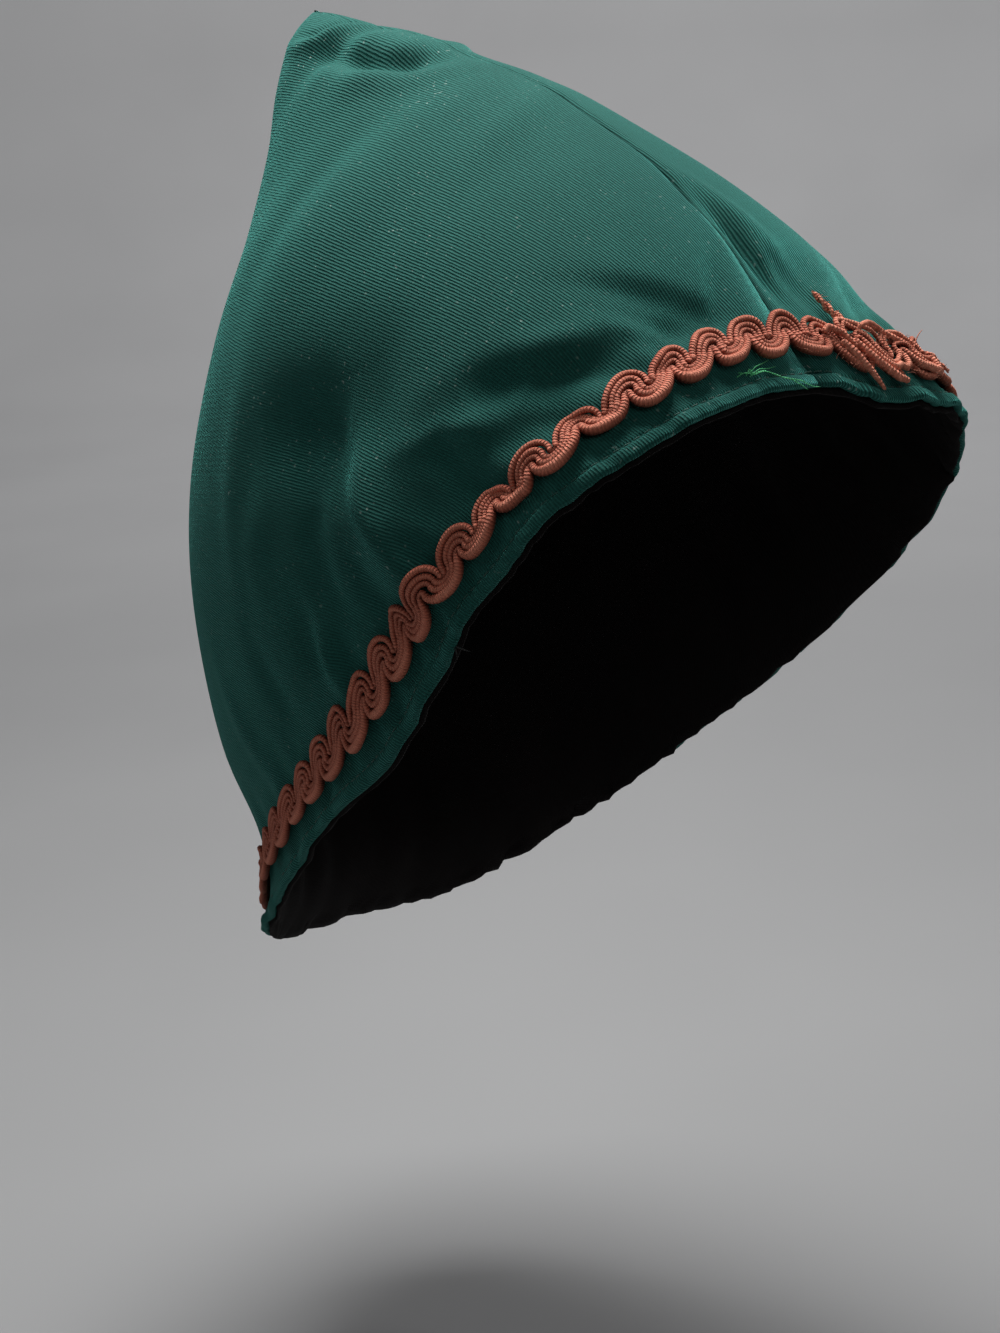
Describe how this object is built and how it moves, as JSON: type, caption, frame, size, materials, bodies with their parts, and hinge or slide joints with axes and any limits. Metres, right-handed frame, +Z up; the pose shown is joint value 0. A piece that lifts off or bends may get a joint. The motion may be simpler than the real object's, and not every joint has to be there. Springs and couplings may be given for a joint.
{
  "type": "pointed cloth hood with gimp braid",
  "caption": "Lined two-panel twill hood that rises to a point over the back of the head, with scroll gimp braid sewn above its slanted edge.",
  "frame": {"origin": "inside face of the crown, on the middle plane, over the middle of the wearer's head", "axes": "+Z up, -Y the way the wearer faces, +X the wearer's left"},
  "size_m": [0.1867, 0.2427, 0.3153],
  "materials": {
    "twill": "dark green cotton twill, matt, with a little lint",
    "lining_cloth": "plain weave lining, near black, matt",
    "gimp": "wrapped cords of rust-coloured yarn with a soft sheen"
  },
  "bodies": {
    "root": {"panel_right": "twill", "panel_left": "twill", "lining": "lining_cloth", "gimp_braid": "gimp", "braid_lap": "gimp", "frayed_end_upper": "gimp", "frayed_end_lower": "gimp"}
  },
  "joints": []
}
